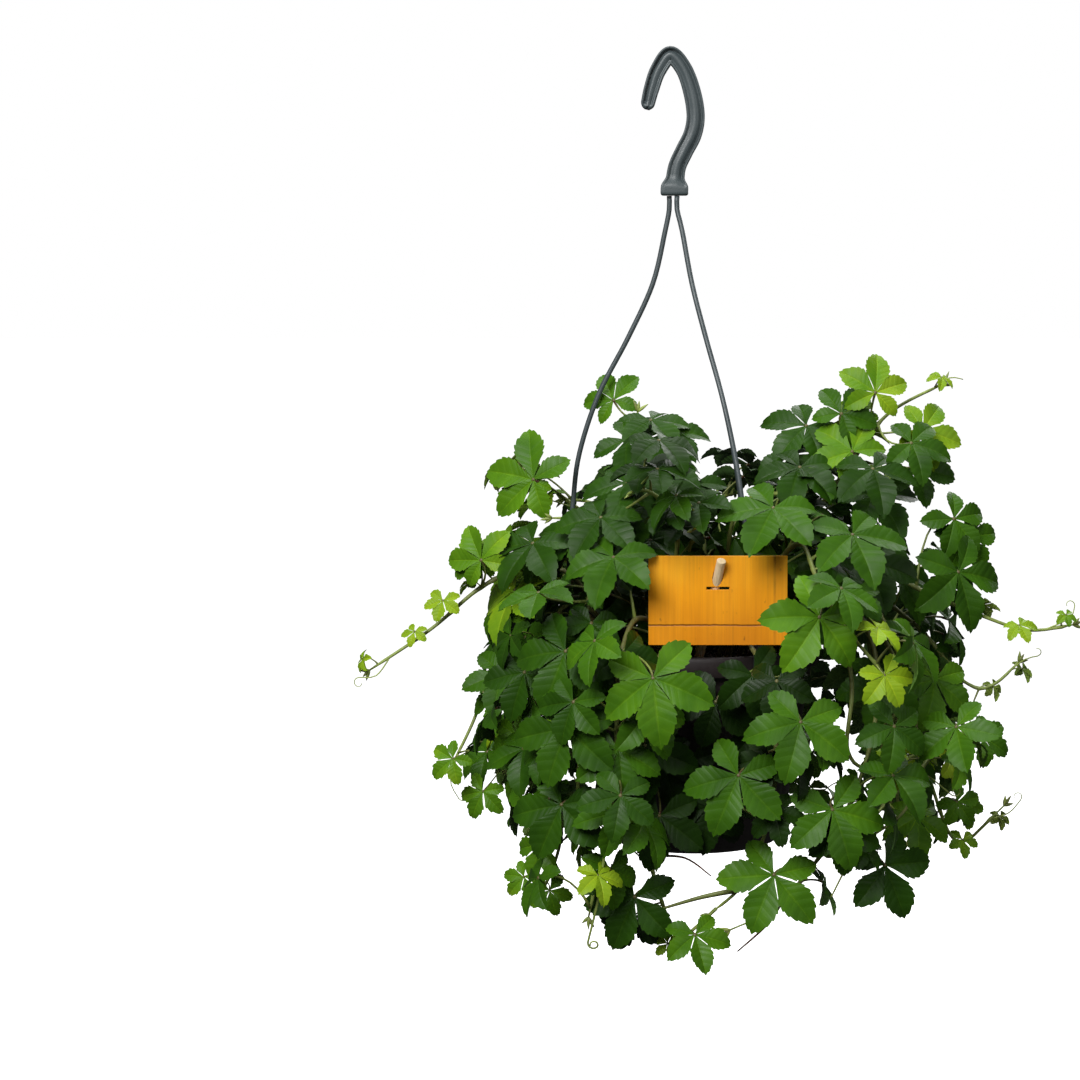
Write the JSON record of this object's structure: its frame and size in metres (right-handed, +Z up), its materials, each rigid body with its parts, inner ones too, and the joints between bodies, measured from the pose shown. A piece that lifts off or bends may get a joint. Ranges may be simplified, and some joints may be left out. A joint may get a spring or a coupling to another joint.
{
  "type": "hanging potted vine",
  "caption": "Trailing vine with palmate leaves in a dark hanging pot, with a moulded hook, strands and a bare wooden name board.",
  "frame": {"origin": "inside of the hook's crown, where a rail or ceiling hook carries it", "axes": "+Z up, front with the name board towards -Y, +X to the right"},
  "size_m": [0.4181, 0.3281, 0.519],
  "materials": {
    "hanger_plastic": "satin moulded plastic",
    "pot_plastic": "satin moulded plastic",
    "soil": "loose crumbly potting soil",
    "board_wood": "amber stained thin board",
    "stick_wood": "bare pale dowel",
    "foliage": "living leaves with a soft sheen"
  },
  "bodies": {
    "root": {"board": "board_wood", "hook": "hanger_plastic", "leafy_stem_01": "foliage", "leafy_stem_02": "foliage", "leafy_stem_03": "foliage", "leafy_stem_04": "foliage", "leafy_stem_05": "foliage", "leafy_stem_06": "foliage", "leafy_stem_07": "foliage", "leafy_stem_08": "foliage", "leafy_stem_09": "foliage", "leafy_stem_10": "foliage", "leafy_stem_11": "foliage", "leafy_stem_12": "foliage", "leafy_stem_13": "foliage", "leafy_stem_14": "foliage", "leafy_stem_15": "foliage", "leafy_stem_16": "foliage", "leafy_stem_17": "foliage", "leafy_stem_18": "foliage", "leafy_stem_19": "foliage", "leafy_stem_20": "foliage", "leafy_stem_21": "foliage", "leafy_stem_22": "foliage", "leafy_stem_23": "foliage", "leafy_stem_24": "foliage", "leafy_stem_25": "foliage", "leafy_stem_26": "foliage", "leafy_stem_27": "foliage", "leafy_stem_28": "foliage", "leafy_stem_29": "foliage", "leafy_stem_30": "foliage", "leafy_stem_31": "foliage", "leafy_stem_32": "foliage", "leafy_stem_33": "foliage", "leafy_stem_34": "foliage", "leafy_stem_35": "foliage", "leafy_stem_36": "foliage", "leafy_stem_37": "foliage", "leafy_stem_38": "foliage", "leafy_stem_39": "foliage", "pot": "pot_plastic", "soil": "soil", "stick": "stick_wood", "strand_front_right": "hanger_plastic", "strand_left": "hanger_plastic", "strand_rear_right": "hanger_plastic"}
  },
  "joints": []
}
